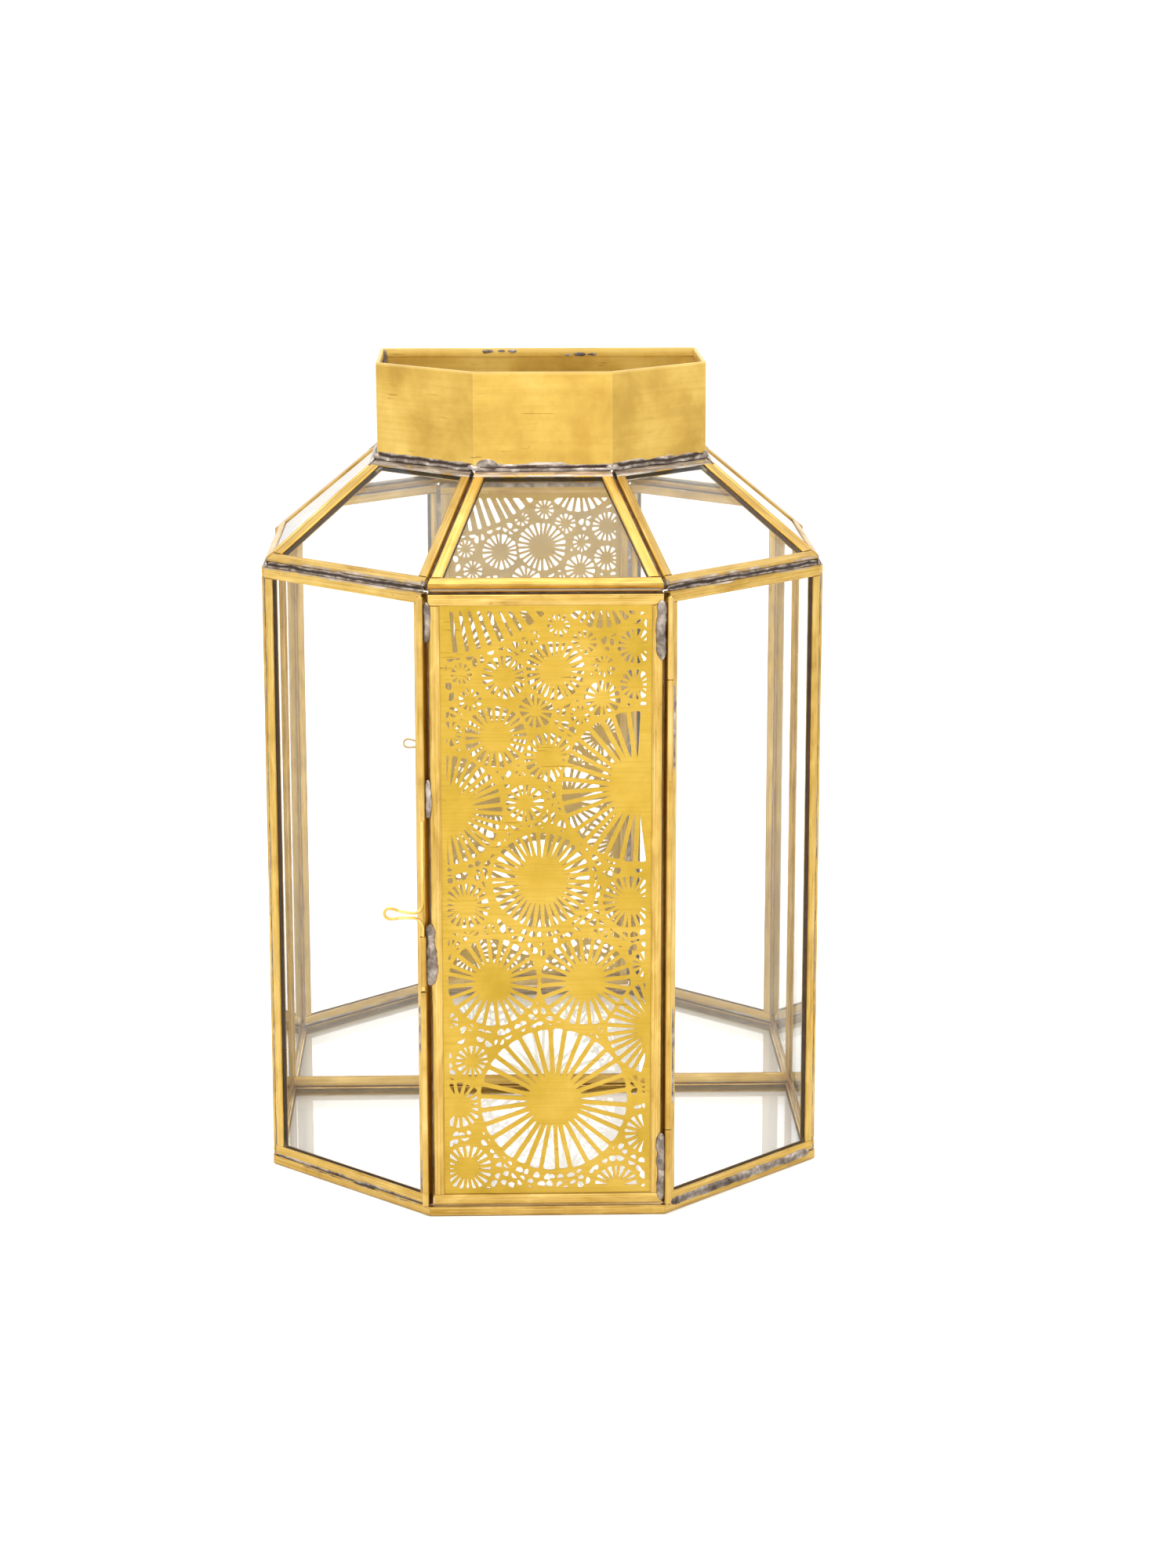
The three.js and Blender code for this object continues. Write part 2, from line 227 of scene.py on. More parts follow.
def sheet_look(name, deep, middle, pale, brush, spots, wear=0.3):
    """Brushed sheet brass with cloudy tarnish, short scratches and a few dark specks.

    The strip coordinates are 1 on a fold, where a highlight is painted in paler brass, and the
    metres up from the sheet's foot, where solder may be smeared.
    """
    look = Look(name, middle, 0.4, 1)
    clouds = look.noise(34, detail=9, roughness=0.6, distortion=0.25)
    colour = look.ramp(clouds, [(0.32, deep), (0.5, middle), (0.66, pale)])
    lines = look.noise(1, detail=4, roughness=0.6, stretch=brush)
    colour = look.tint(colour, lines, 0.45, 0.7, wear, deep)
    scratches = look.noise(1, detail=2, stretch=(60, 60, 1500))
    marked = look.maths("MULTIPLY", look.band(scratches, 0.66, 0.72),
                        look.band(look.noise(60, detail=2), 0.52, 0.6))
    colour = look.mix(look.maths("MULTIPLY", marked, 0.7), colour, (0.22, 0.11, 0.02))
    specks = look.noise(spots, detail=6, roughness=0.75)
    colour = look.tint(colour, specks, 0.66, 0.76, 0.5, (0.28, 0.14, 0.025))
    strip = look.parts(look.given("strip"))
    # Painted highlight: paler brass on the folds and the rim, by the first strip coordinate.
    colour = look.tint(colour, strip["X"], 0.2, 1, 0.4, RIM_AND_FOLD_HIGHLIGHT)
    streaks = look.noise(1, detail=5, roughness=0.6, stretch=(90, 90, 500))
    colour = tinned(look, colour, strip["Y"], look.given("tin", "Fac"), streaks)
    # Painted shade: darker brown where geometry closes round, in the folds, the hem and the door
    # sheet's cuts.
    gaps = look.band(look.hollow(1.6 * MM), 0.1, 0.7, 0.6, 0)
    look.put("Base Color", look.mix(gaps, colour, (0.3, 0.14, 0.02)))
    look.put("Roughness", look.band(clouds, 0.3, 0.7, 0.36, 0.5))
    look.bump(lines, 0.16, 0.1 * MM)
    return look.material


def wire_look():
    """Bright drawn brass wire."""
    look = Look("wire_brass", (0.8, 0.56, 0.17), 0.26, 1)
    lines = look.noise(260, detail=4, stretch=(1, 1, 0.15))
    look.put("Base Color", look.ramp(lines, WIRE_STOPS))
    look.put("Roughness", look.band(lines, 0.3, 0.7, 0.2, 0.36))
    return look.material


def solder_look():
    """Dull tin solder, streaked along the seam, with painted shade down the crease in a seam's
    middle.

    The strip coordinates are metres along the run, -1 to 1 across it, and how creased it is.
    """
    look = Look("solder", (0.3, 0.25, 0.23), 0.5, 0.8)
    strip = look.parts(look.given("strip"))
    clumps = look.noise(190, detail=8, roughness=0.62, distortion=0.5)
    colour = look.ramp(clumps, SOLDER_STOPS)
    # Painted shade: near black down the seam's wandering middle line, as strong as its crease
    # value.
    wander = look.band(look.noise(90, detail=3), 0.3, 0.7, -0.35, 0.35)
    off_middle = look.maths("ABSOLUTE", look.maths("ADD", strip["Y"], wander))
    crease = look.maths("MULTIPLY", look.band(off_middle, 0.6, 0.2), strip["Z"])
    colour = look.mix(crease, colour, (0.035, 0.02, 0.013))
    # Painted shade: near black where other geometry closes round the solder.
    gaps = look.band(look.hollow(2 * MM), 0.2, 0.85, 0.8, 0)
    look.put("Base Color", look.mix(gaps, colour, (0.05, 0.03, 0.022)))
    look.put("Roughness", look.band(clumps, 0.3, 0.7, 0.56, 0.3))
    look.bump(clumps, 0.4, 0.3 * MM)
    return look.material


def glass_look():
    """Thin clear glass: it reflects by its angle and lets everything else through."""
    look = Look("clear_glass", (0.97, 0.99, 0.98), 0.015, 1)
    slant = look.add("ShaderNodeLayerWeight").outputs["Facing"]
    shine = look.band(look.maths("POWER", slant, 5.0), 0, 1, 0.02, 1)
    dust = look.noise(160, detail=5, roughness=0.7)
    look.put("Alpha", look.maths("ADD", shine, look.band(dust, 0.5, 0.85, 0, 0.02)))
    look.put("Roughness", look.band(dust, 0.4, 0.8, 0.01, 0.06))
    return look.material


def mirror_look():
    """Silvered glass with a pale dusty veil in front, and grey backing paint behind."""
    look = Look("mirror_glass", (0.9, 0.9, 0.88), 0.015, 0.8)
    facing = look.parts(look.add("ShaderNodeNewGeometry").outputs["Normal"])
    behind = look.maths("GREATER_THAN", facing["Y"], 0.5)
    paint = look.ramp(look.noise(90, detail=5), PAINT_STOPS)
    veil = look.band(look.noise(55, detail=5), 0.3, 0.8, 0.93, 0.86)
    look.put("Base Color", look.mix(behind, (0.93, 0.925, 0.9), paint))
    look.put("Metallic", look.maths("MULTIPLY", veil, look.maths("SUBTRACT", 1.0, behind)))
    look.put("Roughness", look.band(behind, 0, 1, 0.015, 0.6))
    return look.material


brass = channel_look()
collar_brass = sheet_look("collar_brass", (0.45, 0.27, 0.052), (0.6, 0.39, 0.085),
                          (0.7, 0.49, 0.13), (18, 18, 700), 120)
screen_brass = sheet_look("screen_brass", (0.42, 0.265, 0.03), (0.53, 0.34, 0.05),
                          (0.6, 0.4, 0.075), (22, 22, 1300), 150, 0.45)
bright_wire = wire_look()
solder = solder_look()
clear_glass = glass_look()
mirror_glass = mirror_look()


# -------- pieces
def new_object(name, data):
    made = bpy.data.objects.new(name, data)
    bpy.context.scene.collection.objects.link(made)
    return made


def new_mesh(name, bm, material):
    mesh = bpy.data.meshes.new(name)
    bm.to_mesh(mesh)
    bm.free()
    mesh.materials.append(material)
    return new_object(name, mesh)


def finish_piece(name, bm, material, body, replaced=(), crease=38):
    """Turns a bmesh into a named piece that rides on its body, kept inside the CAD model's box.

    Edges sharper than the crease angle stay sharp.
    """
    for vert in bm.verts:
        vert.co = [min(max(x, a), b) for x, a, b in zip(vert.co, cad_low, cad_high)]
    bmesh.ops.recalc_face_normals(bm, faces=bm.faces)
    for face in bm.faces:
        face.smooth = True
    for edge in bm.edges:
        if len(edge.link_faces) == 2:
            edge.smooth = edge.calc_face_angle(0) < math.radians(crease)
    piece = new_mesh(name, bm, material)
    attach(piece, body)
    if replaced:
        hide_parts(*replaced)


def bridge(bm, rings, marks=None, tin=0.0, loop=False):
    """Faces between rings of points, with end caps unless the last ring joins the first.

    marks gives each point its strip coordinates, and tin is how far solder is smeared over them.
    """
    layers = bm.verts.layers
    strip = layers.float_vector.get("strip") or layers.float_vector.new("strip")
    smear = layers.float.get("tin") or layers.float.new("tin")
    made = []
    for k, ring in enumerate(rings):
        made.append([bm.verts.new(point) for point in ring])
        for vert, mark in zip(made[-1], marks[k] if marks else []):
            vert[strip] = mark
            vert[smear] = tin
    count = len(made[0])
    for first, second in list(zip(made, made[1:])) + ([(made[-1], made[0])] if loop else []):
        for i in range(count):
            j = (i + 1) % count
            bm.faces.new((first[i], first[j], second[j], second[i]))
    if not loop:
        bm.faces.new(made[0])
        bm.faces.new(made[-1])


def cross(a, b):
    return a.x * b.y - a.y * b.x


def area_of(shape):
    return sum(cross(a, b) for a, b in zip(shape, shape[1:] + shape[:1])) / 2


def centre_of(node):
    low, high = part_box(node)
    return (low + high) / 2


def upright(place, low, high):
    """Two points on the vertical line through a place."""
    return Vector((place.x, place.y, low)), Vector((place.x, place.y, high))


class Line:
    """A straight line in a pane's own plane."""

    def __init__(self, point, along):
        self.point, self.along = point, along.normalized()

    def moved(self, inward):
        normal = Vector((-self.along.y, self.along.x))
        return Line(self.point + normal * inward, self.along)

    def meets(self, other):
        reach = cross(other.point - self.point, other.along) / cross(self.along, other.along)
        return self.point + self.along * reach


class Pane:
    """The plane and outline of a flat CAD node: u to the right and v up, seen from outside."""

    def __init__(self, node):
        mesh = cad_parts[node].data
        areas = {}
        for polygon in mesh.polygons:
            key = tuple(round(x, 3) for x in polygon.normal)
            areas[key] = areas.get(key, 0) + polygon.area
        normal = Vector(max(areas, key=areas.get)).normalized()
        points = [v.co.copy() for v in mesh.vertices]
        heart = sum(points, Vector()) / len(points)
        if normal.dot(heart - MIDDLE) < 0:
            normal.negate()
        level = UP.cross(normal)
        self.n = normal
        self.u = level.normalized() if level.length > 0.1 else Vector((1, 0, 0))
        self.v = self.n.cross(self.u)
        heights = [p.dot(normal) for p in points]
        self.outer, self.thickness = max(heights), max(heights) - min(heights)
        self.outline = self.hull([Vector((p.dot(self.u), p.dot(self.v))) for p in points])

    @staticmethod
    def hull(flat):
        """The corners of the flat outline, counter-clockwise, without doubled or straight ones."""
        ring = [flat[i] for i in geometry.convex_hull_2d(flat)]
        if area_of(ring) < 0:
            ring.reverse()
        apart = [p for i, p in enumerate(ring) if (p - ring[i - 1]).length > 0.05 * MM]
        corners = []
        for i, here in enumerate(apart):
            before, after = here - apart[i - 1], apart[(i + 1) % len(apart)] - here
            if cross(before.normalized(), after.normalized()) > 0.03:
                corners.append(here)
        return corners

    def at(self, flat, depth=0.0):
        return self.u * flat.x + self.v * flat.y + self.n * (self.outer - depth)

    def edges(self):
        return list(zip(self.outline, self.outline[1:] + self.outline[:1]))

    def edge_facing(self, direction):
        """The two 3D ends of the edge whose outward side faces that direction most."""
        def facing(edge):
            along = edge[1] - edge[0]
            outward = self.u * along.y - self.v * along.x
            return outward.normalized().dot(direction)
        start, end = max(self.edges(), key=facing)
        return self.at(start), self.at(end)


# -------- brass channel
def channel_profile(thickness):
    """The folded strip's section: distances in from the pane's edge, and depths below its face."""
    def leg(rounding):
        half = [(FACE, CROWN + 0.1 * MM)]
        half += [(FACE * t, CROWN * (2 * t - 1) ** 2) for t in (0.96, 0.8, 0.6, 0.4, 0.26)]
        turns = [math.radians(turn) for turn in (90, 60, 30, 0)]
        return half + [(rounding * (1 - math.cos(t)), rounding * (1 - math.sin(t))) for t in turns]
    back = [(inward, thickness - depth) for inward, depth in reversed(leg(BACK_ROUNDING))]
    inside = [(FACE, thickness - WALL), (WEB, thickness - WALL), (WEB, WALL), (FACE, WALL)]
    return leg(ROUNDING) + [(0, thickness / 2)] + back + inside


def ripple(point, size, seed):
    """A small inward wander, so that hand-bent strip isn't dead straight."""
    return size * (0.5 + 0.5 * noise.noise(point * 22 + Vector((seed, 0, seed))))


def add_strip(bm, pane, line, start_cut, end_cut, seed, tin):
    """One strip along an edge of a pane, cut off at each end by a line across it."""
    profile = channel_profile(pane.thickness)
    across = [max(a, min(d, pane.thickness - d)) for a, d in profile]
    length = (line.meets(end_cut) - line.meets(start_cut)).length
    count = max(2, round(length / STEP))
    rings, marks = [], []
    for k in range(count + 1):
        ring = []
        for inward, depth in profile:
            side = line.moved(inward)
            flat = side.meets(start_cut).lerp(side.meets(end_cut), k / count)
            place = pane.at(flat, depth)
            ring.append(place - pane.n * ripple(place, WAVE, seed))
        rings.append(ring)
        marks.append([(length * k / count, x, seed) for x in across])
    bridge(bm, rings, marks, tin)


def is_level(edge, pane):
    along = pane.u * (edge[1] - edge[0]).x + pane.v * (edge[1] - edge[0]).y
    return abs(along.normalized().z) < 0.05


def tinning(node, edge, pane):
    """How far solder is smeared over the strip along one edge."""
    if node.startswith(("door", "base")):
        return 0.0
    if not is_level(edge, pane) or node.startswith("back"):
        return 0.25 * MM
    upper = (edge[0] + edge[1]).y > (pane.outline[0] + pane.outline[2]).y
    if node.startswith("roof_front"):
        return 4.4 * MM if upper else 0.25 * MM
    if node.startswith("roof"):
        return 5.0 * MM if upper else 0.5 * MM
    return 0.5 * MM if upper else 0.8 * MM


def channel_ring(node, body, through=True):
    """The strip round one pane. Level strips run through and the others stop against them."""
    pane = Pane(node)
    edges = pane.edges()
    lines = [Line(a, b - a) for a, b in edges]
    level = [through and is_level(edge, pane) for edge in edges]
    bm = bmesh.new()
    for i, line in enumerate(lines):
        cuts = []
        for j, toward in ((i - 1, -1), ((i + 1) % len(lines), 1)):
            other = lines[j]
            if level[i] == level[j]:
                corner = line.meets(other)
                split = line.along - other.along
                cuts.append(Line(corner - line.along * toward * SEAM / 2, split))
            elif level[i]:
                cuts.append(other)
            else:
                cuts.append(other.moved(FACE + SEAM))
        seed = len(node) * 1.7 + i * 5.3
        add_strip(bm, pane, line, cuts[0], cuts[1], seed, tinning(node, edges[i], pane))
    name = node.replace("_frame", "_channel")
    finish_piece(name, bm, brass, body, [node])


WALL_NODES = ["left_front", "right_front", "left_side", "right_side"]
ROOF_NODES = ["roof_front", "roof_left_front", "roof_right_front", "roof_left_side",
              "roof_right_side"]
for name in WALL_NODES + ROOF_NODES + ["back"]:
    channel_ring(f"{name}_frame", BODY)
channel_ring("base_frame", BODY, through=False)
channel_ring("door_frame", DOOR)

for name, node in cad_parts.items():
    if name.endswith(("_glass", "_mirror")):
        node.data.materials.clear()
        node.data.materials.append(mirror_glass if name == "back_mirror" else clear_glass)


# -------- collar
HEM = 3.6 * MM  # depth of the rim folded in
HEM_SHEET = 0.7 * MM
COLLAR_SHEET = 0.8 * MM
BEND = 0.7 * MM  # radius of the upright folds


def rounded_ring(outline, inward, height, radius, spacing):
    """The outline moved inwards at one height, its corners rounded and its sides split up.

    The second list says which points are on a rounded corner.
    """
    sides = [b - a for a, b in zip(outline, outline[1:] + outline[:1])]
    lines = [Line(start, side).moved(inward) for start, side in zip(outline, sides)]
    ring, bent = [], []
    for i, here in enumerate(lines):
        before = lines[i - 1]
        corner = before.meets(here)
        turn = math.atan2(cross(before.along, here.along), before.along.dot(here.along))
        cut = max(radius - inward, 0.05 * MM) * math.tan(turn / 2)
        start, end = corner - before.along * cut, corner + here.along * cut
        shares = (0, 0.25, 0.5, 0.75, 1)
        ring += [start.lerp(corner, t).lerp(corner.lerp(end, t), t) for t in shares]
        bent += [False, True, True, True, False]
        after = here.meets(lines[(i + 1) % len(lines)])
        pieces = max(1, round(sides[i].length / spacing))
        ring += [end.lerp(after - here.along * cut, k / pieces) for k in range(1, pieces)]
        bent += [False] * (pieces - 1)
    return [Vector((p.x, p.y, height)) for p in ring], bent


def collar():
    """Bent sheet with its rim folded in, a little uneven as hand work is."""
    top_view = Pane.hull([v.co.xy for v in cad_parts["collar"].data.vertices])
    low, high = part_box("collar")
    sheet, hem = COLLAR_SHEET, COLLAR_SHEET + HEM_SHEET
    rise = high.z - low.z
    outside = [(0.0, low.z + rise * k / 6) for k in range(6)]
    outside += [(0.0, high.z - 1.5 * MM), (0.0, high.z - 0.35 * MM)]
    rim = [(0.12 * MM, high.z - 0.1 * MM), (0.4 * MM, high.z), (hem - 0.4 * MM, high.z),
           (hem - 0.1 * MM, high.z - 0.15 * MM), (hem, high.z - 0.45 * MM)]
    inside = [(hem, high.z - HEM + 0.2 * MM), (hem - 0.2 * MM, high.z - HEM),
              (sheet, high.z - HEM - 0.05 * MM)]
    inside += [(sheet, low.z + rise * k / 6) for k in range(4, -1, -1)]
    rings, marks = [], []
    for inward, height in outside + rim + inside:
        ring, bent = rounded_ring(top_view, inward, height, BEND, 6 * MM)
        centre = Vector((MIDDLE.x, (low.y + high.y) / 2, height))
        rings.append([p.lerp(centre, ripple(p, 0.008, 3)) for p in ring])
        # Painted highlight: the folded top rim gets 0.8 and each rounded upright fold 0.6, which
        # lightens them in paler brass.
        rim_highlight = 0.8 if height > high.z - 0.5 * MM else 0.0
        marks.append([(max(rim_highlight, 0.6 if b else 0.0), height - low.z, 0) for b in bent])
    bm = bmesh.new()
    bridge(bm, rings, marks, tin=1.5 * MM, loop=True)
    finish_piece("collar_sheet", bm, collar_brass, BODY, ["collar"])


collar()


# -------- pierced door sheet
# Sunbursts in millimetres: across from the door's middle, up from the foot, outer radius,
# radius of the plain middle, and how many rays.
SUNBURSTS = [
    (2.6, 46.9, 29.7, 10.3, 30), (-20.7, 94.4, 18.6, 7.2, 24), (14.8, 94.4, 18.6, 7.2, 24),
    (-2.2, 134.8, 20, 9.4, 34), (-30.8, 124.8, 10, 4, 20), (31.6, 126, 11.5, 4.8, 22),
    (35, 171, 30.5, 11.6, 34), (-38, 162.4, 22.5, 9.8, 36), (-8.2, 165, 8.4, 2.9, 15),
    (1, 182.6, 10.7, 5, 20), (-19.1, 190.7, 13, 5.7, 22), (-4, 200.6, 7.7, 2.1, 12),
    (-15.8, 213.7, 9.4, 3.9, 18), (3.4, 216, 12.4, 5.7, 24), (-40, 283, 61.5, 12, 84),
    (-32, 215, 5.2, 1.7, 11), (-28.7, 205, 5.6, 1.8, 11), (-29, 62.7, 7.6, 2.4, 15),
    (-34.2, 45, 10.4, 4.6, 18), (-31, 19.3, 10.5, 4.3, 20), (26.7, 11.7, 9.5, 3, 18),
    (42, 75.5, 20, 7, 32), (38.4, 33, 9.5, 2.6, 18), (4.7, 233.4, 5.5, 1.8, 11),
    (21, 248, 17, 6.2, 26), (-6, 229, 4.6, 1.4, 9), (14.4, 226.8, 5.9, 2, 11),
    (22, 217.8, 5.4, 1.8, 11), (33.8, 225.4, 8, 3.5, 16), (33.6, 210.5, 7, 2.8, 13),
    (21.2, 205.3, 8, 2.7, 14), (-36, 192, 6, 1.8, 11), (9, 164, 6, 1.8, 11),
    (12.8, 199, 5, 1.5, 10), (20.5, 112.5, 4.4, 1.2, 8), (-22, 115, 3.6, 1, 7),
    (38, 101, 6.5, 1.9, 12), (-38, 79, 5, 1.3, 9), (-36.5, 107.5, 5.5, 1.6, 10),
    (-14, 151, 3.6, 1, 7), (15.5, 149, 4.4, 1.2, 8), (-9.5, 178, 3.8, 1.1, 8),
    (-26, 176.5, 3.4, 0.9, 7),
]
MARGIN = 2.2 * MM  # plain border beside the door frame
RIB = 1.25 * MM  # metal between two cuts
RING = 1.1 * MM  # metal round a burst
SMALLEST_CUT = 0.4 * MM * MM
BLUNT = 0.2  # share of a cut's side that its blunted corners take
BIG_BURST = 25 * MM  # outer radius
SCRAP_ROWS = 6
SCRAP_PITCH = 3.3 * MM
SCREEN_SHEET = 0.5 * MM


def clipped(shape, normal, limit):
    """The part of a convex shape where normal . point is at most limit."""
    kept = []
    for here, after in zip(shape, shape[1:] + shape[:1]):
        a, b = normal.dot(here) - limit, normal.dot(after) - limit
        if a < 0:
            kept.append(here)
        if a * b < 0:
            kept.append(here.lerp(after, a / (a - b)))
    return kept


def blunted(shape):
    """The shape with each corner cut off a little, as etching leaves it."""
    made = []
    for i, here in enumerate(shape):
        for other in (shape[i - 1], shape[(i + 1) % len(shape)]):
            reach = min(BLUNT * (other - here).length, 0.45 * MM)
            made.append(here + (other - here).normalized() * reach)
    return [p for i, p in enumerate(made) if (p - made[i - 1]).length > 0.02 * MM]


def walls_of(burst, bursts, low, high):
    """Half planes that keep a burst's cuts on its own side of its neighbours and in the border."""
    centre, outer = burst[0], burst[1]
    walls = [(Vector((1, 0)), high.x), (Vector((-1, 0)), -low.x),
             (Vector((0, 1)), high.y), (Vector((0, -1)), -low.y)]
    for other, other_outer, _, _ in bursts:
        apart = (other - centre).length
        if 0 < apart < outer + other_outer + 30 * MM:
            share = (apart ** 2 + outer ** 2 - other_outer ** 2) / (2 * apart)
            normal = (other - centre) / apart
            walls.append((normal, normal.dot(centre) + share - RIB / 2))
    return walls


def fitted(shape, walls):
    """The shape cut back to all the walls, or nothing if too little is left of it."""
    for normal, limit in walls:
        shape = clipped(shape, normal, limit)
        if len(shape) < 3:
            return []
    return [blunted(shape)] if area_of(shape) > SMALLEST_CUT else []


class Rays:
    """The cuts round one burst: long wedges, then scraps outside its ring."""

    def __init__(self, burst, bursts, low, high):
        self.centre, self.outer, self.inner, self.rays = burst
        self.walls = walls_of(burst, bursts, low, high)
        self.sides = low.x, high.x
        self.turn = (self.centre.x + self.centre.y) * 900

    def polar(self, angle, radius, sideways):
        c, s = math.cos(angle), math.sin(angle)
        return self.centre + Vector((c * radius - s * sideways, s * radius + c * sideways))

    def chance(self, index, kind):
        """From about -1 to 1, always the same for the same cut."""
        seed = Vector((self.centre.x * 410, self.centre.y * 410, index * 1.7 + kind * 31.3))
        return 2 * noise.noise(seed)

    def wedge(self, start, end, near, far, rib):
        """A cut between two angles that widens outwards, pointed at its near end."""
        angle, half_turn = (start + end) / 2, (end - start) / 2
        tip = min(1.8 * MM, 0.35 * (far - near))

        def half(radius):
            return max(radius * math.tan(half_turn) - rib / 2, 0.04 * MM)
        outline = [(near, -0.25 * half(near)), (near + tip, -half(near + tip)), (far, -half(far)),
                   (far + 0.1 * half(far), 0), (far, half(far)), (near + tip, half(near + tip)),
                   (near, 0.25 * half(near))]
        return [self.polar(angle, radius, sideways) for radius, sideways in outline]

    def leaves(self, angle, radius):
        """Whether a big burst's ray has passed the left or right border by this radius."""
        x = self.centre.x + radius * math.cos(angle)
        return self.outer > BIG_BURST and not self.sides[0] < x < self.sides[1]

    def long_cuts(self):
        """The wedges between the rays, each a little uneven."""
        pitch = 2 * math.pi / self.rays
        edges = [self.turn + pitch * (i + 0.13 * self.chance(i % self.rays, 0))
                 for i in range(self.rays + 1)]
        made = []
        for i in range(self.rays):
            near = self.inner * (1 + 0.09 * self.chance(i, 1))
            far = self.outer - RING - 0.25 * MM * (1 + self.chance(i, 2))
            rib = RIB * (0.82 + self.outer / (52 * MM)) * (1 + 0.16 * self.chance(i, 3))
            if self.leaves((edges[i] + edges[i + 1]) / 2, far):
                continue
            made += fitted(self.wedge(edges[i], edges[i + 1], near, far, rib), self.walls)
        return made

    def scraps(self):
        """Rows of short cuts outside the ring, with one left out now and then."""
        made = []
        for row in range(SCRAP_ROWS):
            near = self.outer + 0.4 * MM + row * 3.0 * MM
            count = max(6, round(2 * math.pi * near / SCRAP_PITCH))
            pitch = 2 * math.pi / count
            for i in range(count):
                chance = self.chance(i, 4 + row)
                if chance < -0.85:
                    continue
                start = self.turn + (i + 0.5 * row + 0.3 * chance) * pitch
                shape = self.wedge(start, start + pitch * (1 + 0.2 * self.chance(i, 8)),
                                   near + 0.3 * MM * self.chance(i, 9),
                                   near + (2.1 + 0.4 * chance) * MM, 0.85 * RIB)
                made += fitted(shape, self.walls)
        return made


def sheet_cuts(middle):
    """The outlines of all the cuts, seen from the front."""
    low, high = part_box("door_frame")
    inset = FACE + MARGIN
    border_low = Vector((low.x + inset, low.z + inset))
    border_high = Vector((high.x - inset, high.z - inset))
    bursts = [(Vector((middle + x * MM, z * MM)), outer * MM, inner * MM, rays)
              for x, z, outer, inner, rays in SUNBURSTS]
    cuts = []
    for burst in bursts:
        rays = Rays(burst, bursts, border_low, border_high)
        cuts += rays.long_cuts() + rays.scraps()
    return cuts


def door_sheet():
    """The pierced sheet: the metal left between the cuts, given its thickness."""
    low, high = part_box("door_screen")
    sheet = [Vector((low.x, low.z)), Vector((high.x, low.z)),
             Vector((high.x, high.z)), Vector((low.x, high.z))]
    points, faces = [], []
    for outline in [sheet] + sheet_cuts((low.x + high.x) / 2):
        faces.append(list(range(len(points), len(points) + len(outline))))
        points += outline
    flat, _, cells, _, _, owners = geometry.delaunay_2d_cdt(points, [], faces, 1, 1e-8)
    front_y = low.y + (high.y - low.y - SCREEN_SHEET) / 2
    bm = bmesh.new()
    front = [bm.verts.new((p.x, front_y, p.y)) for p in flat]
    back = [bm.verts.new((p.x, front_y + SCREEN_SHEET, p.y)) for p in flat]
    sides = {}
    for cell, owner in zip(cells, owners):
        if owner == [0]:  # in the sheet and in none of the cuts
            bm.faces.new([front[i] for i in cell])
            bm.faces.new([back[i] for i in reversed(cell)])
            sides.update(dict.fromkeys(zip(cell, cell[1:] + cell[:1])))
    for a, b in sides:
        if (b, a) not in sides:
            bm.faces.new((front[a], front[b], back[b], back[a]))
    bmesh.ops.delete(bm, geom=[v for v in bm.verts if not v.link_faces], context="VERTS")
    finish_piece("door_sheet", bm, screen_brass, DOOR, ["door_screen"], crease=20)


door_sheet()


# -------- tubes and wires
TUBE_BORE = 0.9 * MM  # radius
TUBE_SIDES = 40
WIRE_SIDES = 20


def tube(node, body):
    """A smooth length of brass tube with its ends eased."""
    low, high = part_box(node)
    centre = (low + high) / 2
    outer, ease = (high.x - low.x) / 2, 0.12 * MM
    profile = [(outer - ease, low.z), (outer, low.z + ease), (outer, high.z - ease),
               (outer - ease, high.z), (TUBE_BORE + ease, high.z), (TUBE_BORE, high.z - ease),
               (TUBE_BORE, low.z + ease), (TUBE_BORE + ease, low.z)]
    rings, marks = [], []
    for k in range(TUBE_SIDES):
        turn = 2 * math.pi * k / TUBE_SIDES
        c, s = math.cos(turn), math.sin(turn)
        rings.append([Vector((centre.x + c * r, centre.y + s * r, z)) for r, z in profile])
        across = (0.6 + 0.2 * math.sin(turn)) * FACE
        marks.append([(z, across, len(node)) for _, z in profile])
    bm = bmesh.new()
    bridge(bm, rings, marks, loop=True)
    finish_piece(f"{node}_brass", bm, brass, body, [node])


for node, body in {"hinge_knuckle_top": DOOR, "hinge_knuckle_middle": BODY,
                   "hinge_knuckle_bottom": DOOR, "latch_tube_upper": DOOR,
                   "latch_tube_lower": DOOR, "latch_keeper_tube": BODY}.items():
    tube(node, body)


def swept(route, radius):
    """Rings of a round wire along a route that stays in one plane of constant Y."""
    rings = []
    for i, place in enumerate(route):
        before, after = route[max(i - 1, 0)], route[min(i + 1, len(route) - 1)]
        along = (after - before).normalized()
        out = Vector((0, 1, 0))
        side = along.cross(out)
        swell = 0.6 if i in (0, len(route) - 1) else 1
        ring = []
        for k in range(WIRE_SIDES):
            turn = 2 * math.pi * k / WIRE_SIDES
            offset = out * math.cos(turn) + side * math.sin(turn)
            ring.append(place + offset * radius * swell)
        rings.append(ring)
    return rings


def smooth_route(points, steps):
    """A Catmull-Rom curve through the points."""
    ends = [points[0] * 2 - points[1]] + points + [points[-1] * 2 - points[-2]]
    route = []
    for a, b, c, d in zip(ends, ends[1:], ends[2:], ends[3:]):
        for k in range(steps):
            t = k / steps
            route.append(((b * 2) + (c - a) * t + (a * 2 - b * 5 + c * 4 - d) * t ** 2
                          + (b * 3 - a - c * 3 + d) * t ** 3) / 2)
    return route + [points[-1]]


def straight_wire(node, body):
    low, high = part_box(node)
    centre, radius = (low + high) / 2, (high.x - low.x) / 2
    heights = [low.z, low.z + 0.2 * MM, high.z - 0.2 * MM, high.z]
    bm = bmesh.new()
    bridge(bm, swept([Vector((centre.x, centre.y, z)) for z in heights], radius))
    finish_piece(f"{node}_wire", bm, bright_wire, body, [node])


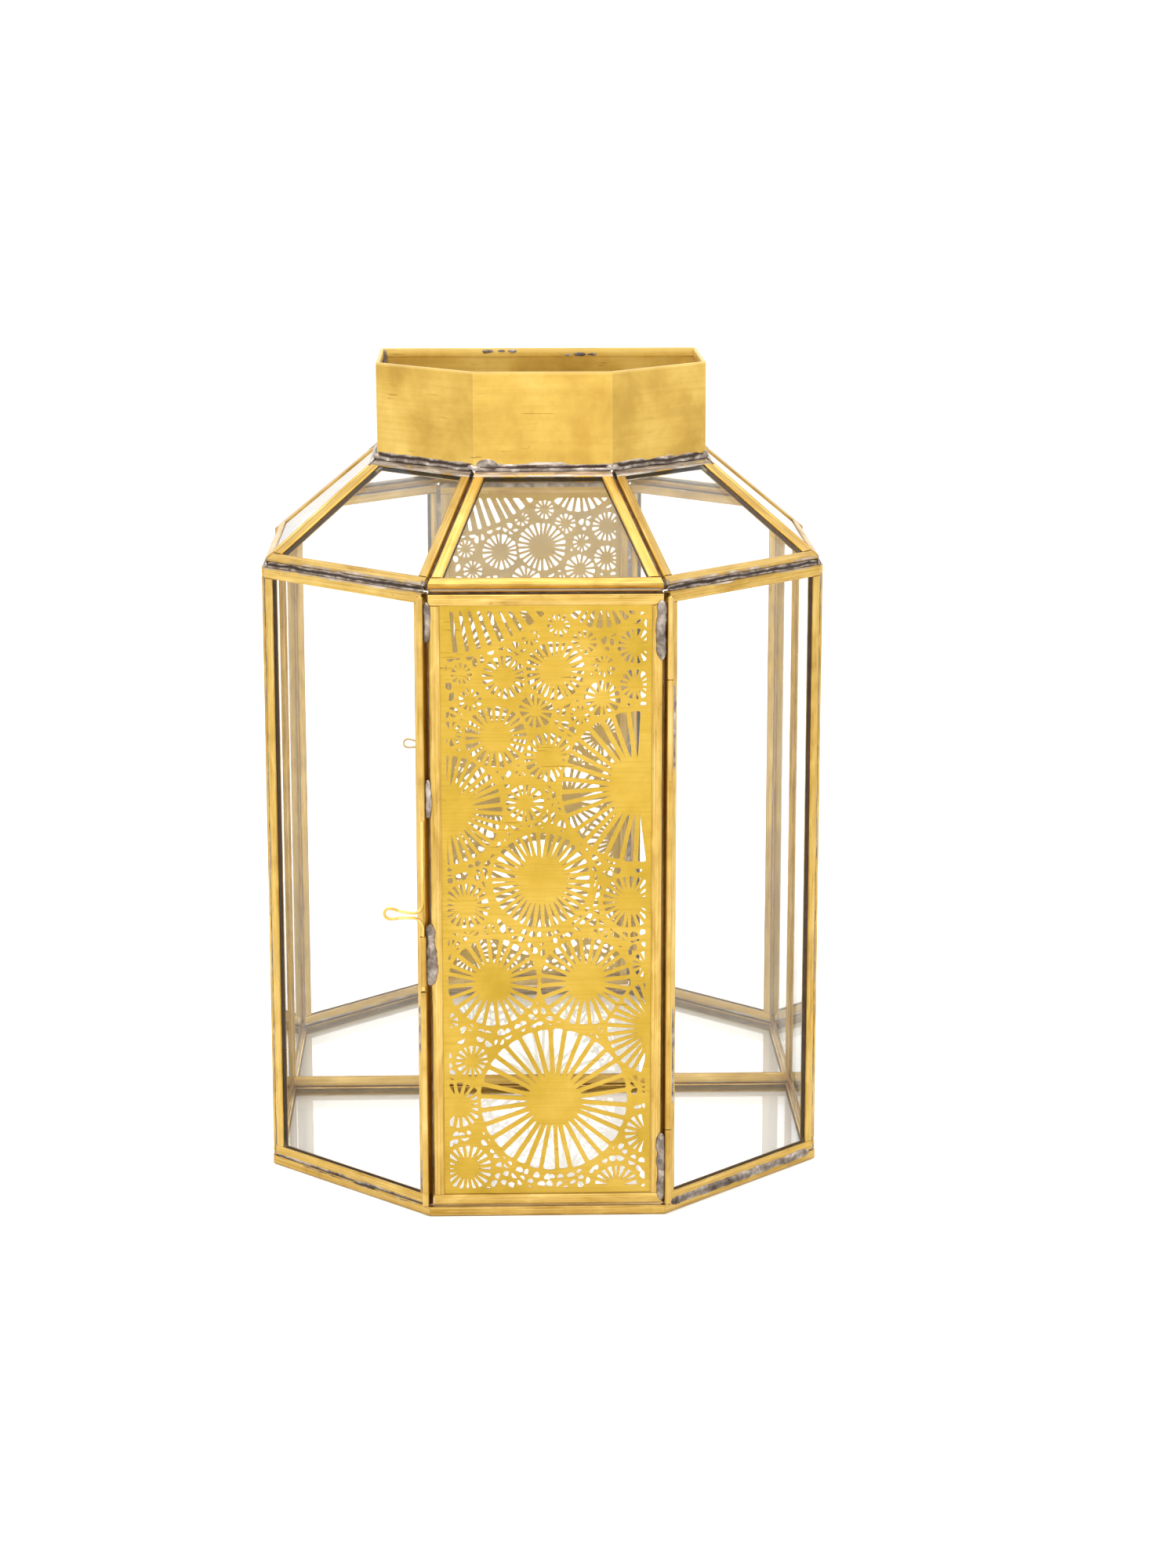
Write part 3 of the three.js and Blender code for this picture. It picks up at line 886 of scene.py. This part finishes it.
# The thumb loop in millimetres: across from the wire's straight length, and up from the foot.
THUMB_LOOP = [(0, 127.4), (-0.35, 125.2), (-1.5, 123.3), (-3.4, 122.6), (-8, 123.2),
              (-12.3, 124.5), (-14.1, 123.9), (-14.7, 122.5), (-14.1, 121), (-12.3, 120.4),
              (-8, 120.7), (-3.8, 120.7), (-1.8, 119.9), (-0.5, 118.6), (0, 116.9)]


def latch_wire():
    low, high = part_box("latch_wire")
    radius = (high.y - low.y) / 2
    across, depth = high.x - radius, (low.y + high.y) / 2
    loop = [Vector((across + x * MM, depth, z * MM)) for x, z in THUMB_LOOP]
    top, tip = Vector((across, depth, high.z)), Vector((across, depth, low.z))
    route = [top, top - UP * 0.2 * MM, loop[0] + UP * 3 * MM]
    route += smooth_route([loop[0] + UP * 2 * MM] + loop + [loop[-1] - UP * 2 * MM], 8)
    route += [tip + UP * 0.2 * MM, tip]
    bm = bmesh.new()
    bridge(bm, swept(route, radius))
    finish_piece("latch_wire_bent", bm, bright_wire, LATCH, ["latch_wire"])


straight_wire("hinge_pin", BODY)
latch_wire()


# -------- solder
BEAD_STEP = 0.7 * MM
BEAD_TURNS = [math.radians(20 * i) for i in range(18)]


def bead(name, start, end, out, width, height, body, lumps=0.2, rounded=True, seed=0.0, crease=0.0,
         metal="solder"):
    """An uneven run of solder between two points: width across the seam, height out of it."""
    along = end - start
    across = along.cross(out).normalized()
    out = across.cross(along).normalized()
    count = max(8, round(along.length / BEAD_STEP))
    rings, marks = [], []
    for k in range(count + 1):
        share = k / count
        place = start + along * share
        from_end = min(share, 1 - share) * along.length / width
        ends = min(1.0, math.sqrt(max(from_end, 0.0)) + 0.1) if rounded else 1.0
        swell = 1 + lumps * noise.noise(place * 230 + Vector((seed, 0, 0)))
        swell += 0.6 * lumps * noise.noise(place * 90 + Vector((0, seed, 0)))
        slip = 0.5 * lumps * width * noise.noise(place * 170 + Vector((0, 0, seed)))
        wander = 0.3 * noise.noise(place * 90 + Vector((0, 0, 7 + seed)))
        ring = []
        for turn in BEAD_TURNS:
            way = Vector((math.cos(turn), math.sin(turn), seed))
            pit = 1 + 0.6 * lumps * noise.noise(place * 650 + way)
            valley = 1 - 0.7 * crease * math.exp(-((way.x - wander) / 0.28) ** 2)
            reach = across * way.x * width / 2 + out * way.y * valley * height / 2
            ring.append(place + across * slip + reach * swell * pit * ends)
        rings.append(ring)
        marks.append([(along.length * share, math.cos(turn), crease) for turn in BEAD_TURNS])
    bm = bmesh.new()
    bridge(bm, rings, marks)
    material = solder if metal == "solder" else brass
    finish_piece(name, bm, material, body, crease=80)


panes = {name: Pane(f"{name}_frame") for name in WALL_NODES + ROOF_NODES + ["back", "base", "door"]}


def meeting_edges(first, second):
    """The outer edge of each pane that is nearest the other pane, both running the same way."""
    def ends(pane):
        return [(pane.at(a), pane.at(b)) for a, b in pane.edges()]

    def apart(pair):
        return ((pair[0][0] + pair[0][1]) / 2 - (pair[1][0] + pair[1][1]) / 2).length
    pairs = [(one, other) for one in ends(first) for other in ends(second)]
    (a, b), (c, d) = min(pairs, key=apart)
    return a, b, d, c


def seam(name, first, second, width, height, sink, crease):
    """Solder in the groove where two panes meet, measured in millimetres."""
    a, b, c, d = meeting_edges(panes[first], panes[second])
    out = (panes[first].n + panes[second].n).normalized()
    inward = out * (sink * MM)
    bead(f"solder_{name}", (a + c) / 2 - inward, (b + d) / 2 - inward, out, width * MM, height * MM,
         BODY, seed=len(name) * 1.3, crease=crease)


def foot_seam(side, width, sink, crease):
    """Solder between a wall pane's foot and the base ring, short of the corners, in millimetres."""
    pane = panes[side]
    start, end = pane.edge_facing(-UP)
    short = (end - start).normalized() * 1.4 * MM
    centre = -UP * 0.15 * MM - pane.n * sink * MM
    bead(f"solder_foot_{side}", start + centre + short, end + centre - short, pane.n, width * MM,
         1.2 * MM, BODY, seed=len(side) * 1.3, crease=crease)


foot_seam("left_front", width=2.6, sink=0.45, crease=0.9)
foot_seam("right_front", width=3.8, sink=0.3, crease=0.35)
foot_seam("left_side", width=2.2, sink=0.5, crease=0.9)
foot_seam("right_side", width=2.2, sink=0.5, crease=0.9)
for side in WALL_NODES:
    seam(f"shoulder_{side}", side, f"roof_{side}", width=2.9, height=1.9, sink=1.25, crease=1.0)
for side in ("left", "right"):
    front, flank = f"{side}_front", f"{side}_side"
    seam(f"corner_{side}", front, flank, width=2.4, height=1.5, sink=1.3, crease=0.6)
    ridge = {"width": 1.5, "height": 1.1, "sink": 2.1, "crease": 1.0}
    seam(f"ridge_{side}", "roof_front", f"roof_{front}", **ridge)
    seam(f"ridge_{side}_rear", f"roof_{front}", f"roof_{flank}", **ridge)


def dab(name, place, out, size, height, body=BODY, seed=0.0):
    """One drop of solder."""
    reach = UP * size / 2 if abs(out.z) < 0.5 else Vector((size / 2, 0, 0))
    bead(f"solder_{name}", place - reach, place + reach, out, size * 0.9, height, body,
         lumps=0.3, seed=seed)


def neck_seam(name):
    """Solder over the top edge of one roof pane, with a drop at each of its front corners."""
    pane, part = panes[name], name[len("roof_"):]
    start, end = pane.edge_facing(UP)
    away = Vector((pane.n.x, pane.n.y, 0)).normalized()
    out = (away * 1.4 + UP).normalized()
    rise, width, height = (0.6, 3.2, 1.5) if part == "front" else (0.9, 3.8, 1.7)
    centre = UP * rise * MM - away * 0.1 * MM
    bead(f"solder_neck_{part}", start + centre, end + centre, out, width * MM, height * MM, BODY,
         rounded=False, seed=len(name), crease=1.0)
    if "side" not in name:
        left, right = sorted((start, end), key=lambda p: p.x)
        dab(f"neck_{part}_left", left + centre, out, 4.2 * MM, 1.9 * MM, seed=len(name))
        dab(f"neck_{part}_right", right + centre, out, 3.6 * MM, 1.9 * MM, seed=9 + len(name))


def neck_blob():
    """A thick blob where the front roof pane meets the collar's left fold."""
    pane = panes["roof_front"]
    left, right = sorted(pane.edge_facing(UP), key=lambda p: p.x)
    away = Vector((pane.n.x, pane.n.y, 0)).normalized()
    rise = UP * 2.0 * MM - away * 0.3 * MM
    bead("solder_neck_blob", left + rise, left.lerp(right, 0.17) + rise - UP * 0.6 * MM, away,
         5.0 * MM, 1.5 * MM, BODY, lumps=0.3, seed=4)


def neck_back():
    """A thin run along the foot of the collar's rear."""
    low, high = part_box("collar")
    rear = Vector((low.x + MM, high.y - 0.3 * MM, low.z))
    run = Vector((high.x - low.x - 2 * MM, 0, 0))
    bead("solder_neck_back", rear, rear + run, -AHEAD, 1.8 * MM, 0.8 * MM, BODY, seed=7)


neck_seam("roof_front")
neck_blob()
for name in ROOF_NODES[1:]:
    neck_seam(name)
neck_back()


def corner_dabs():
    """Drops where the side corners meet the base and the shoulder, and beside the door."""
    for side, sign in (("left", -1), ("right", 1)):
        front, flank = panes[f"{side}_front"], panes[f"{side}_side"]
        away = (front.n + flank.n).normalized()
        a, b, c, d = meeting_edges(front, flank)
        low, high = sorted(((a + c) / 2, (b + d) / 2), key=lambda p: p.z)
        dab(f"corner_foot_{side}", low + UP * 0.6 * MM - away * 0.9 * MM, away, 3.2 * MM, 1.6 * MM,
            seed=2 + sign)
        dab(f"corner_head_{side}", high - away * 1.3 * MM, away, 3.6 * MM, 2.2 * MM, seed=5 + sign)
        inner = front.edge_facing(Vector((-sign, 0, 0)))
        low, high = sorted(inner, key=lambda p: p.z)
        beside = Vector((sign * 0.9, 0.9, 0.1)) * MM
        dab(f"door_foot_{side}", low + beside - front.n * 0.3 * MM, front.n, 2.8 * MM, 1.6 * MM,
            seed=8 + sign)
        a, b, c, d = meeting_edges(panes["roof_front"], panes[f"roof_{side}_front"])
        foot = min(((a + c) / 2, (b + d) / 2), key=lambda p: p.z)
        dab(f"ridge_foot_{side}", foot + Vector((sign * 0.8, 1.2, 0.1)) * MM, front.n, 2.6 * MM,
            1.4 * MM, seed=11 + sign)


corner_dabs()


# Drops on the collar's rear rim, in millimetres: across from the middle, and how wide.
RIM_DROPS = [(-21, 5), (-15.5, 3.2), (-11, 3.6), (12, 3), (17, 5.2), (22, 4)]


def collar_stains():
    """A run of solder up the collar's rear left corner, and burnt drops on the rear rim."""
    low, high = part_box("collar")
    rear = high.y - COLLAR_SHEET - HEM_SHEET
    corner = Vector((low.x + COLLAR_SHEET + 1.1 * MM, high.y - COLLAR_SHEET - 1.1 * MM, 0))
    bead("solder_collar_corner", corner + UP * (low.z + 2 * MM), corner + UP * (high.z - 0.6 * MM),
         Vector((1, -1, 0)).normalized(), 2.8 * MM, 2.0 * MM, BODY, lumps=0.3, seed=6)
    for i, (x, size) in enumerate(RIM_DROPS):
        place = Vector((x * MM, rear - 0.4 * MM, high.z - (1.3 if x < 0 else 2.6) * MM))
        reach = Vector((size * MM / 2, 0, 0))
        bead(f"solder_rim_{i}", place - reach, place + reach, AHEAD, 1.5 * MM, 0.9 * MM, BODY,
             lumps=0.6, seed=i * 2.1)


collar_stains()


def door_head_lip():
    """The brass lip under the front roof pane's lower edge, clear of the door's top."""
    roof = panes["roof_front"]
    a, b, _, _ = meeting_edges(roof, panes["door"])
    inside = roof.n * 0.84 * roof.thickness + UP * 0.1 * MM
    # Its strip coordinates lie outside the channel's face, so the channel brass gives it the
    # painted edge shade all over.
    bead("door_head_lip", a - inside, b - inside, AHEAD, 1.5 * MM, 1.5 * MM, BODY, lumps=0.12,
         seed=3, metal="channel_brass")


door_head_lip()


def door_stops():
    """Solder on the opening's inner edge, just behind the shut door, which closes the gaps."""
    low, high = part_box("door_frame")
    behind = high.y + 0.55 * MM
    for side, x in (("left", low.x - 0.1 * MM), ("right", high.x + 0.1 * MM)):
        foot, head = upright(Vector((x, behind, 0)), low.z + 2 * MM, high.z)
        bead(f"solder_stop_{side}", foot, head, AHEAD, 1.7 * MM, 0.7 * MM, BODY, lumps=0.1, seed=x)
    above = high.z + 0.1 * MM
    bead("solder_stop_head", Vector((low.x, behind, above)), Vector((high.x, behind, above)), AHEAD,
         2.2 * MM, 0.7 * MM, BODY, lumps=0.1, seed=5)


door_stops()


# Runs that hold tubes to the door, in millimetres: across from the tube's axis, bottom, top,
# width and height.
DOOR_RUNS = {
    "hinge_top": ("hinge_knuckle_top", -3.3, 220, 243, 4.1, 2.1),
    "hinge_bottom": ("hinge_knuckle_bottom", -2.6, 6, 33.5, 3.5, 2.1),
    "latch_top": ("latch_tube_upper", 2.6, 227, 242.5, 2.9, 2.0),
    "latch_middle": ("latch_tube_upper", 2.4, 159.5, 174.5, 2.8, 2.0),
    "latch_low": ("latch_tube_lower", 3.1, 93.5, 107, 4.5, 2.2),
    "latch_low_upper": ("latch_tube_lower", 2.7, 103, 118, 3.6, 2.0),
}
# Runs that hold tubes to the lantern: across and back from the tube's axis, bottom and top.
BODY_RUNS = {
    "hinge_middle_high": ("hinge_knuckle_middle", 0.8, 1.6, 177, 211),
    "hinge_middle_low": ("hinge_knuckle_middle", 0.8, 1.6, 44, 84),
    "keeper_low": ("latch_keeper_tube", -0.5, 1.85, 8, 24),
    "keeper_high": ("latch_keeper_tube", -0.5, 1.85, 66, 86),
}


def hardware_solder():
    """The runs that hold the hinge and latch tubes to the door and to the lantern."""
    door_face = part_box("door_frame")[0].y
    for name, (held, across, low, high, width, height) in DOOR_RUNS.items():
        place = Vector((centre_of(held).x + across * MM, door_face - 0.25 * MM, 0))
        foot, head = upright(place, low * MM, high * MM)
        bead(f"solder_{name}", foot, head, AHEAD, width * MM, height * MM, DOOR, lumps=0.3,
             seed=low)
    for name, (held, across, back, low, high) in BODY_RUNS.items():
        place = centre_of(held) + Vector((across, back, 0)) * MM
        foot, head = upright(place, low * MM, high * MM)
        out = Vector((math.copysign(1, across), -1, 0)).normalized()
        bead(f"solder_{name}", foot, head, out, 2.8 * MM, 2.6 * MM, BODY, lumps=0.3, seed=low)


hardware_solder()


# -------- studio
def floor():
    """White paper that reaches far past what the camera sees."""
    bm = bmesh.new()
    bmesh.ops.create_grid(bm, x_segments=1, y_segments=1, size=60.0)
    made = new_mesh("floor", bm, Look("floor_paper", (0.93, 0.93, 0.925), 0.9, 0).material)
    made.location.z = cad_low.z


def area_light(name, place, target, size, power):
    data = bpy.data.lights.new(name, "AREA")
    data.shape = "SQUARE"
    data.size = size
    data.energy = power
    made = new_object(name, data)
    made.location = place
    made.rotation_mode = "QUATERNION"
    made.rotation_quaternion = (Vector(target) - Vector(place)).to_track_quat("-Z", "Y")


DIM_PATCH = (0, -0.68, 0.73)
WHITE_LIGHT = 1.5
DIM_LIGHT = 0.5


def white_room():
    """An even white surround with one soft dim patch, high up behind the camera."""
    world = bpy.data.worlds.new("white_room")
    world.use_nodes = True
    tree = world.node_tree
    place = tree.nodes.new("ShaderNodeTexCoord")
    toward = tree.nodes.new("ShaderNodeVectorMath")
    toward.operation = "DOT_PRODUCT"
    feed(tree, toward, {0: place.outputs["Generated"], 1: DIM_PATCH})
    dim = tree.nodes.new("ShaderNodeMapRange")
    dim.interpolation_type = "SMOOTHSTEP"
    feed(tree, dim, {"Value": toward.outputs["Value"], "From Min": 0.82, "From Max": 0.95,
                     "To Min": WHITE_LIGHT, "To Max": DIM_LIGHT})
    feed(tree, tree.nodes["Background"], {"Color": (1, 1, 1, 1), "Strength": dim.outputs["Result"]})
    bpy.context.scene.world = world


LOOKING_DOWN = 12.73
LOOKING_RIGHT = 1.7


def camera():
    """The viewpoint: a long lens, a little above the lantern and looking down at it."""
    data = bpy.data.cameras.new("camera")
    data.lens = 77.6
    data.sensor_width = 36.0
    made = new_object("camera", data)
    made.location = (-0.0213, -1.3266, 0.4547)
    made.rotation_euler = (math.radians(90 - LOOKING_DOWN), 0, math.radians(-LOOKING_RIGHT))
    bpy.context.scene.camera = made


floor()
white_room()
area_light("table_light", (-0.1, -0.55, 1.5), target=(0, -0.3, 0), size=1.0, power=10)
area_light("front_light", (0, -2.2, 0.6), target=(0, -0.08, 0.12), size=0.9, power=3.2)
area_light("top_light", (0, 0.35, 1.9), target=(0, 0.2, 0), size=1.4, power=5)
area_light("side_light", (-1.5, -0.5, 1.2), target=(-1.0, -0.2, 0), size=0.8, power=2.5)
camera()
bpy.context.scene.view_settings.view_transform = "Standard"
